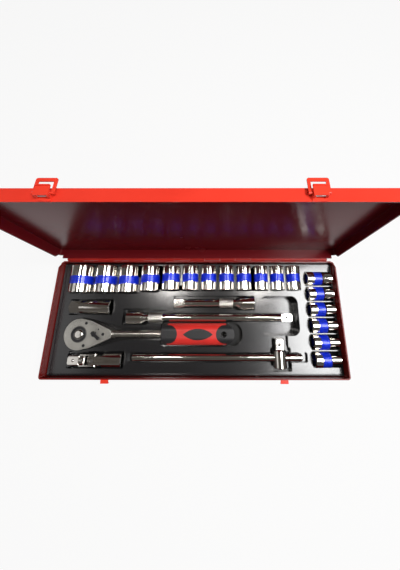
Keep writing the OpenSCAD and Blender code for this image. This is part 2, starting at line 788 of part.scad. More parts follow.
module grip_shape(w, t, x0, x1) {
    translate([x0, head_y, handle_z]) rotate([90, 0, 90]) linear_extrude(x1 - x0) union() {
        for (s = [-1, 1]) translate([s * (w - t) / 2, 0]) circle(t / 2);
        square([w - t, t], center = true);
    }
}

red_x0 = 9;
red_x1 = 96;
red_t = 1.2;

// Plan of the red moulding, cut by round bites at both ends and an oval window
module red_plan(window) {
    difference() {
        translate([red_x0, -grip_w]) square([red_x1 - red_x0, 2 * grip_w]);
        translate([red_x0 + 2, 0]) circle(13);
        translate([red_x1 - 2, 0]) circle(13);
        if (window) intersection() {
            translate([(red_x0 + red_x1) / 2 + 2, 26]) circle(34);
            translate([(red_x0 + red_x1) / 2 + 2, -26]) circle(34);
        }
    }
}

module grip_overmould() color("red") {
    difference() {
        grip_shape(grip_w, grip_t, grip_x + red_x0, grip_x + red_x1);
        grip_shape(grip_w - 2 * red_t, grip_t - 2 * red_t, grip_x, grip_x + grip_len);
        translate([grip_x, head_y, handle_z]) for (s = [0, 1]) mirror([0, 0, s])
            linear_extrude(40) difference() {
                translate([-5, -40]) square([grip_len + 10, 80]);
                red_plan(true);
            }
    }
}

module grip_core() color([0.06, 0.06, 0.07]) {
    end_r = grip_w / 2;
    difference() {
        union() {
            grip_shape(grip_w - 2 * red_t, grip_t - 2 * red_t, grip_x, grip_x + grip_len - end_r + 2);
            difference() {
                intersection() {
                    grip_shape(grip_w, grip_t, grip_x + 2, grip_x + grip_len);
                    translate([grip_x, head_y, 0]) linear_extrude(80) union() {
                        translate([0, -grip_w]) square([grip_len - end_r, 2 * grip_w]);
                        translate([grip_len - end_r, 0]) circle(end_r);
                    }
                }
                grip_shape(grip_w + 2, grip_t + 2, grip_x + red_x0, grip_x + red_x1);
            }
            intersection() {
                grip_shape(grip_w, grip_t, grip_x + red_x0 - 0.1, grip_x + red_x1 + 0.1);
                translate([grip_x, head_y, 0]) linear_extrude(80) difference() {
                    translate([-5, -40]) square([grip_len + 10, 80]);
                    red_plan(true);
                }
            }
        }
        rod_x(grip_x - 1, grip_x + 4, head_y, handle_z, 5.4);
        rod_x(grip_x + 3, grip_x + 84, head_y, handle_z, 4.5);
        rod_z(grip_x + grip_len - end_r, head_y, 0, 80, 4.2);
    }
}

// Universal joint: socket yoke to +X, drive yoke to -X, a cross between them

yoke_r = uj_od / 2;
fork_in = 6.4;
trunnion_r = 2.6;
cross_half = 5.8;

module ujoint_socket_yoke() color("silver") {
    difference() {
        union() {
            bar_x(uj_x + 13.5, uj_x + uj_back, uj_y, bar_z, yoke_r, 0.8);
            intersection() {
                rod_x(uj_x - 6, uj_x + 15, uj_y, bar_z, yoke_r);
                union() {
                    box(uj_x, uj_x + 15, uj_y - 6, uj_y + 6, bar_z - 20, bar_z + 20);
                    rod_z(uj_x, uj_y, bar_z - 20, bar_z + 20, 6);
                }
            }
        }
        box(uj_x - 8, uj_x + 9.5, uj_y - 20, uj_y + 20, bar_z - fork_in, bar_z + fork_in);
        rod_z(uj_x, uj_y, bar_z - 20, bar_z + 20, trunnion_r);
        intersection() {
            square_x(uj_x + uj_back - drive_depth, uj_x + uj_back + 1, uj_y, bar_z, drive);
            rod_x(uj_x + uj_back - drive_depth, uj_x + uj_back + 1, uj_y, bar_z, square_r - 1);
        }
    }
}

module ujoint_cross() color([0.4, 0.4, 0.42]) {
    box(uj_x - cross_half, uj_x + cross_half, uj_y - cross_half, uj_y + cross_half,
        bar_z - cross_half, bar_z + cross_half);
    rod_z(uj_x, uj_y, bar_z - yoke_r + 0.8, bar_z + yoke_r - 0.8, trunnion_r - run);
    rod_y(uj_y - yoke_r + 0.8, uj_y + yoke_r - 0.8, uj_x, bar_z, trunnion_r - run);
}

module ujoint_drive_yoke() color("silver") {
    difference() {
        union() {
            intersection() {
                bar_x(uj_x - 20.5, uj_x + 6, uj_y, bar_z, yoke_r - 0.5, 1.4);
                union() {
                    box(uj_x - 21, uj_x, uj_y - 20, uj_y + 20, bar_z - 5.6, bar_z + 5.6);
                    rod_y(uj_y - 20, uj_y + 20, uj_x, bar_z, 5.6);
                    bar_x(uj_x - 20.5, uj_x - 13, uj_y, bar_z, 8.6, 1.6);
                }
            }
            drive_square(uj_x - uj_front, uj_y, bar_z);
        }
        box(uj_x - 11.5, uj_x + 20, uj_y - fork_in, uj_y + fork_in, bar_z - 20, bar_z + 20);
        rod_y(uj_y - 20, uj_y + 20, uj_x, bar_z, trunnion_r);
    }
}

module ujoint_ball() color("gray") {
    ball(uj_x - uj_front + 8, uj_y, bar_z + drive / 2 - 0.9);
}

// Sliding T bar

stop_inset = 43;

module tbar_rod() color("silver") {
    difference() {
        bar_x(tee_x, tee_x + tbar_len, tee_y, bar_z, tbar_od / 2, 1);
        for (x = stop_points) rod_z(x, tee_y, bar_z + tbar_od / 2 - 3, bar_z + 20, 1.5);
    }
}

stop_points = [tee_x + 20, tee_x + tbar_len - 19.5];

module tbar_rod_balls() color("gray") {
    for (x = stop_points) translate([x, tee_y, bar_z + tbar_od / 2 - 0.8]) sphere(r = 1.48);
}

module tbar_head() color("silver") {
    y0 = tee_y - thead_len / 2 - 2;
    y1 = tee_y + thead_len / 2 - 2;
    r = thead_od / 2;
    difference() {
        union() {
            rod_y(y0 + 1, y1 - 1, thead_x, bar_z, r);
            translate([thead_x, y0, bar_z]) rotate([-90, 0, 0]) cylinder(h = 1, r1 = r - 1, r2 = r);
            translate([thead_x, y1 - 1, bar_z]) rotate([-90, 0, 0]) cylinder(h = 2.5, r1 = r, r2 = r - 2.5);
            translate([thead_x, y1, 0]) rotate([0, 0, -90]) drive_square(-square_len, 0, bar_z);
        }
        rod_x(thead_x - 20, thead_x + 20, tee_y, bar_z, tbar_od / 2 + run);
    }
}

module tbar_head_ball() color("gray") {
    ball(thead_x, tee_y + thead_len / 2 - 2 + square_len - 8, bar_z + drive / 2 - 0.9);
}

base_shell();
lid_shell();
hinge_base_leaves();
hinge_lid_leaves();
hinge_pins();
base_rivets();
lid_rivets();
latch_catches();
latch_brackets();
latch_pins();
latch_lever_left();
latch_lever_right();
latch_bail_left();
latch_bail_right();
tool_tray();
socket_27();
socket_24();
socket_23();
socket_22();
socket_21();
socket_20();
socket_19();
socket_18();
socket_17();
socket_16();
socket_15();
socket_14();
socket_13();
socket_12();
socket_11();
socket_10();
socket_09();
socket_08();
spark_plug_socket();
spark_plug_insert();
extension_short();
extension_short_ball();
extension_long();
extension_long_ball();
ratchet_body();
ratchet_cover();
cover_screws();
ratchet_gear();
gear_ring();
ratchet_pawl();
selector_lever();
release_button();
button_spring();
drive_ball();
grip_core();
grip_overmould();
ujoint_socket_yoke();
ujoint_cross();
ujoint_drive_yoke();
ujoint_ball();
tbar_rod();
tbar_rod_balls();
tbar_head();
tbar_head_ball();
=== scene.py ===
"""Finishes, small details, light and camera for a half-inch drive socket set in a case."""

import logging
import math
from dataclasses import dataclass
from enum import Enum

import bpy
from mathutils import Matrix, Vector


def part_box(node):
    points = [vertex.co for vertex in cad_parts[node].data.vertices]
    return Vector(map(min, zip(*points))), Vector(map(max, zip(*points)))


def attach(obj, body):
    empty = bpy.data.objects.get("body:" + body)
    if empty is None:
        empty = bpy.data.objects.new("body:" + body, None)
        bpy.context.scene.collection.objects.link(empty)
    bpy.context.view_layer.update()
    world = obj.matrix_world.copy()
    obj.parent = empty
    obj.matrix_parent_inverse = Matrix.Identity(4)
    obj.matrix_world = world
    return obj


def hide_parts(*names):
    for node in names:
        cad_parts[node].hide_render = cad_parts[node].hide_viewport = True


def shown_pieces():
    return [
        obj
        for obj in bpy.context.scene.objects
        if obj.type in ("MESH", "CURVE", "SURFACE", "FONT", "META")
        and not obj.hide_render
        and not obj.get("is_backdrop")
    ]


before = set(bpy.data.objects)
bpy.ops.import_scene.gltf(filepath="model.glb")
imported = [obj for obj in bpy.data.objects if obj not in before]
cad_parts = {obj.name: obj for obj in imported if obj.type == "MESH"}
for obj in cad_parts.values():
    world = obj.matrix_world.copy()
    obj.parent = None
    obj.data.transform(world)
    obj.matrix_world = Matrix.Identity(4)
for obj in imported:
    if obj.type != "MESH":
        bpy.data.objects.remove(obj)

LOG = logging.getLogger("socket_set")
MM = 0.001
IMAGE_W, IMAGE_H = 400, 570
# Share of a unit normal along an axis from which a face counts as facing that way
FACING = 0.5
# Cleaning a CAD mesh: vertices nearer than this join, and faces this close to level merge
MERGE_DISTANCE = 0.001 * MM
LEVEL_DEGREES = 0.6
# Angles between faces from which an edge is rounded, and from which it is shaded sharp
ROUND_DEGREES = 38
SHARP_DEGREES = 35
# Factor on the faces' share in a corner's normal, which favours large faces above 50
NORMAL_WEIGHT = 60
Colour = tuple[float, float, float]
Point = tuple[float, float, float]


class Axis(Enum):
    """The row axis that a tool lies along."""

    X = 0
    Y = 1


class End(Enum):
    """Which end of a bar carries its female socket."""

    LEFT = 0
    RIGHT = 1


# Shader graphs


@dataclass(frozen=True)
class Value:
    """A number socket in a node tree, with the arithmetic that the finishes use."""

    graph: "Graph"
    socket: bpy.types.NodeSocket

    def _math(self, operation: str, first: object, second: object) -> "Value":
        """Adds one Math node.

        Args:
            operation: the Math node's operation.
            first: its first input, a Value or a number.
            second: its second input, a Value or a number.

        Returns:
            The node's output.
        """
        node = self.graph.node("ShaderNodeMath", {"operation": operation}, {0: first, 1: second})
        return Value(self.graph, node.outputs[0])

    def __add__(self, other: object) -> "Value":
        """Sum."""
        return self._math("ADD", self, other)

    def __sub__(self, other: object) -> "Value":
        """Difference."""
        return self._math("SUBTRACT", self, other)

    def __rsub__(self, other: object) -> "Value":
        """Difference from a number."""
        return self._math("SUBTRACT", other, self)

    def __mul__(self, other: object) -> "Value":
        """Product."""
        return self._math("MULTIPLY", self, other)

    __radd__ = __add__
    __rmul__ = __mul__

    def above(self, limit: float) -> "Value":
        """1 where this is over a limit."""
        return self._math("GREATER_THAN", self, limit)

    def below(self, limit: float) -> "Value":
        """1 where this is under a limit."""
        return self._math("LESS_THAN", self, limit)

    def sine(self) -> "Value":
        """Sine of this."""
        return self._math("SINE", self, 0.0)

    def ramp(self, low: float, high: float) -> "Value":
        """0 at low, 1 at high, clamped.

        Args:
            low: value that gives 0.
            high: value that gives 1.

        Returns:
            The clamped ramp.
        """
        limits = {0: self, 1: low, 2: high, 3: 0.0, 4: 1.0}
        node = self.graph.node("ShaderNodeMapRange", {"clamp": True}, limits)
        return Value(self.graph, node.outputs[0])

    def between(self, low: float, high: float) -> "Value":
        """1 between two limits."""
        return self.above(low) * self.below(high)


class Graph:
    """A material with one Principled BSDF and the nodes that feed it."""

    def __init__(self, name: str) -> None:
        """Makes the material.

        Args:
            name: the material's name.
        """
        self.material = bpy.data.materials.new(name)
        self.material.use_nodes = True
        self.tree = self.material.node_tree
        self.shader = next(n for n in self.tree.nodes if n.type == "BSDF_PRINCIPLED")
        self.place = self.tree.nodes.new("ShaderNodeTexCoord")

    def node(
        self, kind: str, settings: dict | None = None, inputs: dict | None = None
    ) -> bpy.types.Node:
        """Adds a node.

        Args:
            kind: the node's type.
            settings: properties set before the inputs.
            inputs: input sockets by index or name, each a Value, a socket or a constant.

        Returns:
            The node.
        """
        made = self.tree.nodes.new(kind)
        for key, value in (settings or {}).items():
            setattr(made, key, value)
        for key, value in (inputs or {}).items():
            self.feed(made.inputs[key], value)
        return made

    def feed(self, target: bpy.types.NodeSocket, value: object) -> None:
        """Links a value to a socket, or sets it.

        Args:
            target: the input.
            value: a Value, a socket or a constant.
        """
        if isinstance(value, Value):
            value = value.socket
        if isinstance(value, bpy.types.NodeSocket):
            self.tree.links.new(value, target)
        else:
            target.default_value = value

    def axes(self, source: str = "Object") -> list[Value]:
        """Splits a texture coordinate into three numbers.

        Args:
            source: the coordinate, Object in metres or Normal.

        Returns:
            Its x, y and z.
        """
        parts = self.node("ShaderNodeSeparateXYZ", {}, {0: self.place.outputs[source]})
        return [Value(self, parts.outputs[i]) for i in range(3)]

    def noise(self, scale: float, detail: float = 3.0, stretch: Point = (1.0, 1.0, 1.0)) -> Value:
        """Noise on object coordinates.

        Args:
            scale: its scale per metre.
            detail: its detail.
            stretch: scale along each axis.

        Returns:
            A number about 0.5.
        """
        where = {"Vector": self.place.outputs["Object"], "Scale": stretch}
        mapped = self.node("ShaderNodeMapping", {}, where)
        pattern = {"Vector": mapped.outputs[0], "Scale": scale, "Detail": detail}
        made = self.node("ShaderNodeTexNoise", {}, pattern)
        return Value(self, made.outputs[0])

    def blend(self, mask: Value, first: object, second: object) -> bpy.types.NodeSocket:
        """Mixes two colours.

        Args:
            mask: 0 for the first, 1 for the second.
            first: a colour or a socket.
            second: a colour or a socket.

        Returns:
            The mixed colour.
        """
        made = self.node("ShaderNodeMix", {"data_type": "RGBA"})
        self.feed(made.inputs["Factor"], mask)
        for key, value in ((6, first), (7, second)):
            self.feed(made.inputs[key], (*value, 1.0) if isinstance(value, tuple) else value)
        return made.outputs[2]

    def bump(self, height: Value, depth: float, strength: float = 0.5) -> None:
        """Feeds a Bump node into the shader's normal.

        Args:
            height: the height field.
            depth: its depth in metres.
            strength: how strongly it acts.
        """
        relief = {"Height": height, "Distance": depth, "Strength": strength}
        made = self.node("ShaderNodeBump", {}, relief)
        self.feed(self.shader.inputs["Normal"], made.outputs[0])

    def set(self, **inputs: object) -> None:
        """Sets or links the shader's inputs by name, with _ for a space.

        Args:
            inputs: values by input name.
        """
        for key, value in inputs.items():
            if isinstance(value, tuple) and len(value) == 3:
                value = (*value, 1.0)
            self.feed(self.shader.inputs[key.replace("_", " ")], value)


# Finishes


@dataclass(frozen=True)
class Enamel:
    """Glossy stove enamel on pressed sheet steel, with painted shade on the inner faces, a darker
    and rougher colour, where one is given.
    """

    name: str
    colour: Colour
    deep: Colour
    rough: float = 0.2
    # Darker colour painted on the inner faces as painted shade, and the roughness added there
    inside_shade: Colour | None = None
    inside_rough: float = 0.05
    # Height between the base's rim and the upright lid, in metres
    lid_from: float = 0.05
    specular: float = 0.24
    coat: float = 0.04
    coat_rough: float = 0.08
    relief: float = 0.05 * MM

    def inner(self, graph: Graph) -> Value:
        """Finds the inner faces of the base and of the open lid, and the base's rim, where the
        shade is painted.

        Args:
            graph: the material's graph.

        Returns:
            1 on them and 0 elsewhere.
        """
        along, across, up = graph.axes("Normal")
        x, y, z = graph.axes()
        side, back = x.above(0.0) * 2.0 - 1.0, y.above(0.0) * 2.0 - 1.0
        walls = (along * side).below(-FACING) + (across * back).below(-FACING)
        lid_wall = up.below(-FACING) * z.above(self.lid_from)
        base_floor = up.above(FACING) * z.below(self.lid_from)
        return walls + (lid_wall + base_floor)

    def build(self) -> bpy.types.Material:
        """Makes the material."""
        graph = Graph(self.name)
        wide = graph.noise(14, 3)
        fine = graph.noise(900, 2)
        specks = graph.noise(2600, 4).ramp(0.7, 0.78)
        coat = graph.blend(wide.ramp(0.35, 0.75), self.colour, self.deep)
        rough = wide * 0.12 + specks * 0.2 + (self.rough - 0.06)
        # Painted shade: the inner faces take the darker colour
        if self.inside_shade is not None:
            inner = self.inner(graph)
            coat = graph.blend(inner, coat, self.inside_shade)
            rough = rough + inner * self.inside_rough
        graph.set(
            Base_Color=coat,
            Roughness=rough,
            Specular_IOR_Level=self.specular,
            Coat_Weight=self.coat,
            Coat_Roughness=self.coat_rough,
        )
        graph.bump(fine * 0.7 + graph.noise(220, 2), self.relief)
        return graph.material


@dataclass(frozen=True)
class FormedSheet:
    """Thin black vacuum-formed plastic, glossy with a faint grain, with painted shade: black in
    the pockets and a lighter grey on the top surface.
    """

    name: str
    colour: Colour
    rough: float = 0.2
    specular: float = 0.85
    # Heights between which the black of the pockets, painted shade, turns to the lighter grey of
    # the top surface, in metres
    pocket_shade_heights: tuple[float, float] = (24 * MM, 28 * MM)
    relief: float = 0.06 * MM

    def build(self) -> bpy.types.Material:
        """Makes the material."""
        graph = Graph(self.name)
        height = graph.axes()[2]
        wide = graph.noise(9, 3)
        scuffs = graph.noise(60, 6, (1.0, 5.0, 1.0)).ramp(0.66, 0.85)
        # Painted shade: the pockets stay black, and the top surface gets a lighter grey
        lit_top_grey = tuple(c * 1.5 + 0.002 for c in self.colour)
        graph.set(
            Base_Color=graph.blend(height.ramp(*self.pocket_shade_heights), self.colour, lit_top_grey),
            Roughness=wide * 0.14 + scuffs * 0.08 + (self.rough - 0.07),
            Specular_IOR_Level=self.specular,
        )
        graph.bump(graph.noise(1500, 3) * 0.12 + wide * 12.0, self.relief, 0.6)
        return graph.material


@dataclass(frozen=True)
class Chrome:
    """Polished chrome plate with faint turning marks along one axis."""

    name: str
    axis: Axis
    colour: Colour = (0.72, 0.69, 0.65)
    rough: float = 0.11
    # Where a knurled grip starts and ends along X, in metres
    knurl: tuple[float, float] | None = None
    knurl_relief: float = 0.18 * MM
    plain_relief: float = 0.01 * MM
    # Radians per metre of the crossing cuts and of the rings between them
    cross_cut: float = 4200.0
    ring_cut: float = 5200.0

    def base(self, graph: Graph) -> tuple[Value, Value]:
        """Lays the plain plate.

        Args:
            graph: the material's graph.

        Returns:
            The roughness and the height of the plate.
        """
        turned = (400.0, 4.0, 4.0) if self.axis is Axis.X else (4.0, 400.0, 4.0)
        marks = graph.noise(6, 2, turned)
        haze = graph.noise(70, 4)
        return haze * 0.08 + marks * 0.06 + (self.rough - 0.07), marks

    def build(self) -> bpy.types.Material:
        """Makes the material."""
        graph = Graph(self.name)
        rough, height = self.base(graph)
        dull = tuple(c * 0.86 for c in self.colour)
        tint = graph.blend(graph.noise(40, 3).ramp(0.35, 0.7), self.colour, dull)
        if self.knurl:
            x, y, z = graph.axes()
            band = x.between(*self.knurl)
            crossed = ((x + z) * self.cross_cut).sine() * ((x - z + y) * self.cross_cut).sine()
            cut = crossed + (y * self.ring_cut).sine() * 0.5
            height = height * 0.12 + cut * band
            rough = rough + band * 0.22
        graph.set(Base_Color=tint, Metallic=1.0, Roughness=rough)
        graph.bump(height, self.knurl_relief if self.knurl else self.plain_relief, 0.6)
        return graph.material


@dataclass(frozen=True)
class BandedChrome(Chrome):
    """Chrome with a coloured, cross-cut band round the middle."""

    # Where the band starts and ends along the tool, in metres
    band: tuple[float, float] = (0.0, 0.0)
    band_colour: Colour = (0.003, 0.03, 0.72)
    band_relief: float = 0.14 * MM

    def build(self) -> bpy.types.Material:
        """Makes the material."""
        graph = Graph(self.name)
        axes = graph.axes()
        rough, marks = self.base(graph)
        along = axes[self.axis.value]
        across = axes[1 - self.axis.value]
        band = along.between(*self.band)
        cut = ((along + across) * self.ring_cut).sine() * ((along - across) * self.ring_cut).sine()
        worn = graph.noise(520, 4).ramp(0.66, 0.74) * 0.5
        paint = band * (1.0 - worn)
        graph.set(
            Base_Color=graph.blend(paint, self.colour, self.band_colour),
            Metallic=1.0 - paint * 0.6,
            Roughness=rough + band * 0.18,
            Coat_Weight=paint * 0.5,
        )
        graph.bump(marks * 0.06 + cut * band, self.band_relief)
        return graph.material


@dataclass(frozen=True)
class SatinSteel:
    """Fine-blasted or blackened steel."""

    name: str
    colour: Colour
    rough: float
    metallic: float = 1.0
    relief: float = 0.04 * MM

    def build(self) -> bpy.types.Material:
        """Makes the material."""
        graph = Graph(self.name)
        grain = graph.noise(1700, 3)
        wide = graph.noise(45, 4)
        light = tuple(min(c * 1.35 + 0.02, 1.0) for c in self.colour)
        graph.set(
            Base_Color=graph.blend(wide.ramp(0.3, 0.75), self.colour, light),
            Metallic=self.metallic,
            Roughness=wide * 0.14 + grain * 0.1 + (self.rough - 0.12),
        )
        graph.bump(grain, self.relief)
        return graph.material


@dataclass(frozen=True)
class SoftGrip:
    """Moulded rubber with a fine leathery skin."""

    name: str
    colour: Colour
    rough: float = 0.42
    specular: float = 0.45
    cell_scale: float = 900.0
    relief: float = 0.06 * MM

    def build(self) -> bpy.types.Material:
        """Makes the material."""
        graph = Graph(self.name)
        where = {"Vector": graph.place.outputs["Object"], "Scale": self.cell_scale}
        cells = graph.node("ShaderNodeTexVoronoi", {}, where)
        wide = graph.noise(35, 3)
        dull = tuple(c * 0.72 for c in self.colour)
        graph.set(
            Base_Color=graph.blend(wide.ramp(0.35, 0.8), self.colour, dull),
            Roughness=wide * 0.16 + (self.rough - 0.08),
            Specular_IOR_Level=self.specular,
        )
        graph.bump(Value(graph, cells.outputs[0]) + wide, self.relief)
        return graph.material


# Modelling helpers


def select_only(*pieces: bpy.types.Object) -> None:
    """Selects these objects and makes the first one active.

    Args:
        pieces: the objects.
    """
    bpy.ops.object.select_all(action="DESELECT")
    for piece in pieces:
        piece.select_set(True)
    bpy.context.view_layer.objects.active = pieces[0]


def dress(piece: bpy.types.Object, material: bpy.types.Material) -> None:
    """Gives a piece one material all over.

    Args:
        piece: the object.
        material: its finish.
    """
    piece.data.materials.clear()
    piece.data.materials.append(material)


def apply(piece: bpy.types.Object, kind: str, **settings: object) -> None:
    """Adds a modifier and applies it.

    Args:
        piece: the object.
        kind: the modifier's type.
        settings: its properties.
    """
    select_only(piece)
    made = piece.modifiers.new(kind.lower(), kind)
    for key, value in settings.items():
        setattr(made, key, value)
    bpy.ops.object.modifier_apply(modifier=made.name)


def finish_copy(
    node: str, name: str, body: str, bevel: float, segments: int = 2
) -> bpy.types.Object:
    """Copies a CAD node, joins its triangles to clean faces and rounds its edges.

    Args:
        node: the CAD node that the copy stands for.
        name: the new piece's name.
        body: the body it rides on.
        bevel: the radius of its edges, in metres.
        segments: faces across each rounded edge.

    Returns:
        The piece.
    """
    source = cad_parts[node]
    piece = bpy.data.objects.new(name, source.data.copy())
    bpy.context.scene.collection.objects.link(piece)
    select_only(piece)
    bpy.ops.object.mode_set(mode="EDIT")
    bpy.ops.mesh.select_all(action="SELECT")
    bpy.ops.mesh.remove_doubles(threshold=MERGE_DISTANCE)
    bpy.ops.mesh.dissolve_limited(angle_limit=math.radians(LEVEL_DEGREES))
    bpy.ops.object.mode_set(mode="OBJECT")
    apply(
        piece,
        "BEVEL",
        width=bevel,
        segments=segments,
        limit_method="ANGLE",
        angle_limit=math.radians(ROUND_DEGREES),
        use_clamp_overlap=True,
        harden_normals=False,
        miter_outer="MITER_ARC",
    )
    select_only(piece)
    bpy.ops.object.shade_smooth_by_angle(angle=math.radians(SHARP_DEGREES))
    apply(piece, "WEIGHTED_NORMAL", keep_sharp=True, weight=NORMAL_WEIGHT)
    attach(piece, body)
    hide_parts(node)
    LOG.info("%s: %d faces", name, len(piece.data.polygons))
    return piece


# Sub-assemblies


@dataclass
class Case:
    """Base, lid, hinges and latches."""

    # The inside colours are painted shade on the inner faces of base and lid
    base_enamel: Enamel = Enamel(
        "red_enamel", (0.78, 0.04, 0.02), (0.66, 0.028, 0.016), inside_shade=(0.2, 0.01, 0.008)
    )
    # The lid's red is a lighter copy of the base's red: painted light on the upright lid
    lid_lighter_enamel: Enamel = Enamel(
        "lid_lighter_enamel", (0.82, 0.05, 0.028), (0.74, 0.04, 0.022), inside_shade=(0.13, 0.006, 0.009)
    )
    # Darker, duller red on the hinge leaves and rivets: painted shade in the strip between lid and
    # base
    hinge_shaded_enamel: Enamel = Enamel("hinge_shaded_enamel", (0.4, 0.018, 0.012), (0.32, 0.014, 0.01), 0.36)
    latch_enamel: Enamel = Enamel("latch_enamel", (0.88, 0.06, 0.03), (0.74, 0.04, 0.022), 0.24)
    pins: SatinSteel = SatinSteel("plain_steel", (0.5, 0.5, 0.5), 0.35)
    edge: float = 0.35 * MM
    latch_edge: float = 0.25 * MM
    latch_pieces: tuple[tuple[str, str], ...] = (
        ("latch_catches", "root"),
        ("latch_brackets", "lid"),
        ("latch_lever_left", "lever_left"),
        ("latch_lever_right", "lever_right"),
        ("latch_bail_left", "bail_left"),
        ("latch_bail_right", "bail_right"),
    )

    def build(self) -> None:
        """Rounds and paints the sheet-metal pieces."""
        shells = (("base", "root", self.base_enamel), ("lid", "lid", self.lid_lighter_enamel))
        for part, body, enamel in shells:
            name = f"{part}_pressing"
            piece = finish_copy(f"{part}_shell", name, body, self.edge)
            dress(piece, enamel.build())
        # Painted shade: the hinge pieces take the darker red
        hinge_shade_paint = self.hinge_shaded_enamel.build()
        for node in ("hinge_base_leaves", "hinge_lid_leaves", "base_rivets", "lid_rivets"):
            dress(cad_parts[node], hinge_shade_paint)
        latch = self.latch_enamel.build()
        for node, body in self.latch_pieces:
            piece = finish_copy(node, f"{node}_stamped", body, self.latch_edge)
            dress(piece, latch)
        steel = self.pins.build()
        for node in ("hinge_pins", "latch_pins"):
            dress(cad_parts[node], steel)


@dataclass
class Tray:
    """The vacuum-formed sheet that holds the tools."""

    sheet: FormedSheet = FormedSheet("black_sheet", (0.007, 0.007, 0.008))
    edge: float = 1.1 * MM

    def build(self) -> None:
        """Softens the formed edges and finishes the plastic."""
        piece = finish_copy("tool_tray", "formed_tray", "root", self.edge, 3)
        dress(piece, self.sheet.build())


@dataclass
class Socket:
    """One socket with its band and its size mark."""

    size: int
    axis: Axis
    band_from: float
    band_len: float = 12 * MM
    mark_height: float = 6 * MM
    mark_depth: float = 0.04 * MM
    # Clearance of the numerals from the metal, and their shift towards the band
    mark_gap: float = 0.03 * MM
    mark_shift: float = 0.4 * MM
    # Width of the numerals against their height, where they run across the tool
    mark_squeeze: float = 0.8
    edge: float = 0.25 * MM

    @property
    def node(self) -> str:
        """Name of the CAD node and of its body."""
        return f"socket_{self.size:02d}"

    def finish(self) -> BandedChrome:
        """The banded chrome of this socket."""
        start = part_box(self.node)[0][self.axis.value] + self.band_from
        band = (start, start + self.band_len)
        return BandedChrome(f"banded_chrome_{self.size:02d}", self.axis, band=band)

    def numerals(self) -> bpy.types.Object:
        """Makes the size as flat numerals at the origin.

        Returns:
            Their mesh object.
        """
        bpy.ops.object.select_all(action="DESELECT")
        bpy.ops.object.text_add(location=(0, 0, 0))
        text = bpy.context.object.data
        text.body = str(self.size)
        text.size = self.mark_height
        text.align_x = "CENTER"
        text.align_y = "CENTER"
        text.extrude = self.mark_depth
        text.resolution_u = 3
        bpy.ops.object.convert(target="MESH")
        piece = bpy.context.object
        select_only(piece)
        bpy.ops.object.mode_set(mode="EDIT")
        bpy.ops.mesh.select_all(action="SELECT")
        bpy.ops.mesh.subdivide(number_cuts=1)
        bpy.ops.object.mode_set(mode="OBJECT")
        return piece

    def mark(self, ink: bpy.types.Material) -> None:
        """Wraps the size in plain numerals round the drive end.

        Args:
            ink: the finish of the numerals.
        """
        low, high = (Vector(v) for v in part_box(self.node))
        middle = (low + high) / 2
        radius = (high.z - low.z) / 2
        offset = self.band_from / 2 + self.mark_shift
        piece = self.numerals()
        for vertex in piece.data.vertices:
            across, along, lift = vertex.co
            if self.axis is Axis.X:
                across, along = along, across * self.mark_squeeze
            angle = across / radius
            reach = radius + self.mark_gap + lift
            side, up = math.sin(angle) * reach, math.cos(angle) * reach
            if self.axis is Axis.Y:
                vertex.co = (middle.x + side, low.y + offset + along, middle.z + up)
            else:
                vertex.co = (low.x + offset + along, middle.y + side, middle.z + up)
        piece.name = f"size_mark_{self.size:02d}"
        dress(piece, ink)
        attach(piece, self.node)

    def build(self, ink: bpy.types.Material) -> None:
        """Rounds the edges, plates the socket and marks it.

        Args:
            ink: the finish of the numerals.
        """
        piece = finish_copy(self.node, f"plated_{self.node}", self.node, self.edge)
        dress(piece, self.finish().build())
        self.mark(ink)


@dataclass
class SocketRows:
    """All the hexagon sockets."""

    back: tuple[int, ...] = (27, 24, 23, 22, 21, 20, 19, 18, 17, 16, 15, 14)
    side: tuple[int, ...] = (13, 12, 11, 10, 9, 8)
    # Distance from a socket's drive end to its band, and the height of the side row's marks
    back_band: float = 13 * MM
    side_band: float = 10 * MM
    side_mark: float = 5 * MM
    ink: SatinSteel = SatinSteel("stamped_mark", (0.05, 0.05, 0.055), 0.6, 0.4)

    def build(self) -> None:
        """Builds each socket in order."""
        ink = self.ink.build()
        for size in self.back:
            Socket(size, Axis.Y, self.back_band).build(ink)
        for size in self.side:
            Socket(size, Axis.X, self.side_band, mark_height=self.side_mark).build(ink)


@dataclass
class Extension:
    """An extension bar with its knurled grip."""

    node: str
    body: str
    female: End
    # The knurl's start and end, measured from the female end
    knurl_from: float = 33 * MM
    knurl_to: float = 54 * MM
    edge: float = 0.25 * MM

    def build(self, steel: bpy.types.Material) -> None:
        """Plates the bar and finishes its ball.

        Args:
            steel: the finish of the ball.
        """
        low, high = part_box(self.node)
        if self.female is End.LEFT:
            knurl = (low[0] + self.knurl_from, low[0] + self.knurl_to)
        else:
            knurl = (high[0] - self.knurl_to, high[0] - self.knurl_from)
        piece = finish_copy(self.node, f"plated_{self.node}", self.body, self.edge)
        dress(piece, Chrome(f"{self.node}_chrome", Axis.X, knurl=knurl).build())
        dress(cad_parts[f"{self.node}_ball"], steel)


